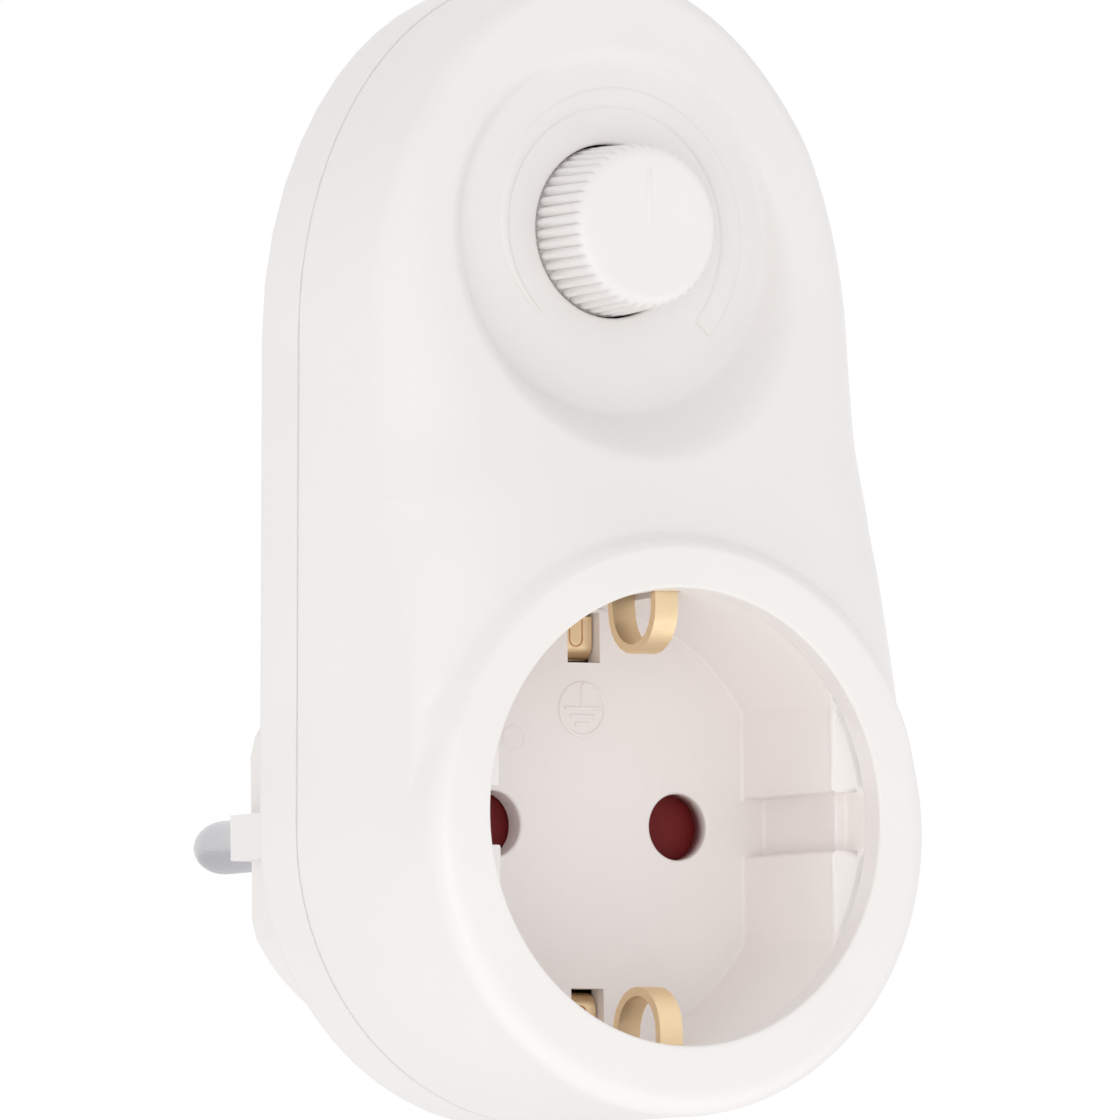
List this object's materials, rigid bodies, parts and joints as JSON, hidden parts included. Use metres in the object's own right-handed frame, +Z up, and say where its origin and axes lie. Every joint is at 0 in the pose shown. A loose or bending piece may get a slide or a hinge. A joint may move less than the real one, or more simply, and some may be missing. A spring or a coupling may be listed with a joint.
{
  "type": "plug-in dimmer",
  "caption": "Plug-in rotary dimmer: white housing with an earthed plug behind, an earthed shuttered socket in a raised collar in front and a ribbed knob in a sunken dish above it.",
  "frame": {"origin": "centre of the plug face, on the socket axis between the two pins", "axes": "+Y along the plug pins, out of the plug face; +Z up from the socket to the knob; the front looks along -Y"},
  "size_m": [0.0504, 0.0668, 0.1008],
  "materials": {
    "white_gloss": "semi-gloss moulded",
    "white_knob": "semi-gloss moulded, ribbed",
    "white_matte": "satin moulded",
    "shutter_red": "satin moulded",
    "ivory_plastic": "satin moulded",
    "brass": "stamped strip",
    "pin_metal": "nickel plated, turned",
    "steel": "zinc plated",
    "dark_plastic": "moulded",
    "board": "lacquered laminate",
    "aluminium": "bent sheet",
    "ferrite": "sintered",
    "copper": "enamelled wire",
    "capacitor_red": "dipped",
    "capacitor_yellow": "moulded",
    "diac_blue": "moulded",
    "resistor_tan": "lacquered",
    "fuse_glass": "clear tube",
    "lead_brown": "soft insulation",
    "lead_blue": "soft insulation"
  },
  "bodies": {
    "housing": {"front_shell": "white_gloss", "rear_shell": "white_gloss", "socket_insert": "white_matte", "shutter_spring": "steel", "contact_carrier": "ivory_plastic", "line_contact": "brass", "neutral_contact": "brass", "plug_pin_line": "pin_metal", "plug_pin_neutral": "pin_metal", "earth_strip_top": "brass", "earth_strip_bottom": "brass", "earth_bridge": "brass", "pot_housing": "dark_plastic", "pot_terminals": "steel", "circuit_board": "board", "triac": "dark_plastic", "heatsink": "aluminium", "choke_core": "ferrite", "choke_winding": "copper", "film_capacitor": "capacitor_red", "timing_capacitor": "capacitor_yellow", "diac": "diac_blue", "resistors": "resistor_tan", "fuse_tube": "fuse_glass", "fuse_caps": "steel", "fuse_clips": "steel", "line_wire": "lead_brown", "load_wire": "lead_blue", "housing_screws": "steel", "board_screws": "steel"},
    "knob": {"dimmer_knob": "white_knob", "pot_shaft": "steel"},
    "shutter": {"child_shutter": "shutter_red"}
  },
  "joints": [
    {"name": "knob_turn", "type": "hinge", "parent": "housing", "child": "knob", "pos_m": [0, -0.0364, 0.0515], "axis": [0, -1, 0], "range_deg": [-133, 133]},
    {"name": "shutter_turn", "type": "hinge", "parent": "housing", "child": "shutter", "pos_m": [0, -0.0277, 0], "axis": [0, -1, 0], "range_deg": [0, 42], "stiffness_Nm_per_rad": 0.004, "springref_deg": -20.05}
  ]
}
